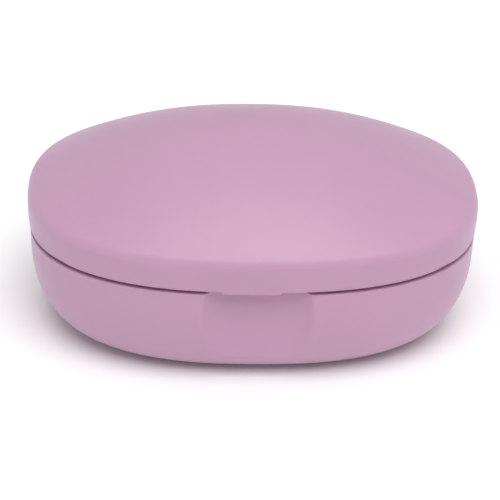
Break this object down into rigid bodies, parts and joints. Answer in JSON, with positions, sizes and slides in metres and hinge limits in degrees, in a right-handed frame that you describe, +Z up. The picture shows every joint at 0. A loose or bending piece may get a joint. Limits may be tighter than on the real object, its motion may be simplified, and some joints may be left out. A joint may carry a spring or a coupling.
{
  "type": "pill splitter",
  "caption": "Oval clamshell pill splitter: domed hinged lid with a guarded blade over a V-shaped pill holder, and storage wells in the base.",
  "frame": {"origin": "centre of the anti-slip pad's underside, on the surface that the case rests on", "axes": "+X right along the oval's long axis, -Y the front with the finger scoop, +Y the back with the hinge, +Z up"},
  "size_m": [0.088, 0.0681, 0.04],
  "materials": {
    "case_pink": "satin moulded ABS",
    "tray_pink": "satin moulded ABS",
    "screw_steel": "zinc plated",
    "pad_rubber": "matt silicone",
    "holder_white": "satin moulded",
    "grip_silicone": "soft translucent silicone",
    "strip_plastic": "tough plastic",
    "pin_steel": "drawn bright wire",
    "blade_steel": "ground stainless steel",
    "guard_clear": "frosted clear polycarbonate"
  },
  "bodies": {
    "base": {"base_shell": "case_pink", "base_tray": "tray_pink", "tray_screw_1": "screw_steel", "tray_screw_2": "screw_steel", "tray_screw_3": "screw_steel", "tray_screw_4": "screw_steel", "anti_slip_pad": "pad_rubber", "v_holder": "holder_white", "grip_pad_left": "grip_silicone", "grip_pad_right": "grip_silicone", "cutting_strip": "strip_plastic", "hinge_pin": "pin_steel"},
    "lid": {"lid_shell": "case_pink", "blade_carrier": "holder_white", "carrier_screw_1": "screw_steel", "carrier_screw_2": "screw_steel", "carrier_screw_3": "screw_steel", "carrier_screw_4": "screw_steel", "blade_clamp": "holder_white", "clamp_screw_front": "screw_steel", "clamp_screw_back": "screw_steel", "blade": "blade_steel", "guard_pin": "pin_steel", "guard_spring": "pin_steel"},
    "guard": {"blade_guard": "guard_clear"}
  },
  "joints": [
    {"name": "lid_hinge", "type": "hinge", "parent": "base", "child": "lid", "pos_m": [0, 0.034, 0.02035], "axis": [-1, 0, 0], "range_deg": [0, 105]},
    {"name": "guard_swing", "type": "hinge", "parent": "lid", "child": "guard", "pos_m": [0, 0.024, 0.0221], "axis": [1, 0, 0], "range_deg": [0, 17]}
  ],
  "couplings": [
    {"joint": "guard_swing", "follows": "lid_hinge", "ratio": 0.1619}
  ]
}
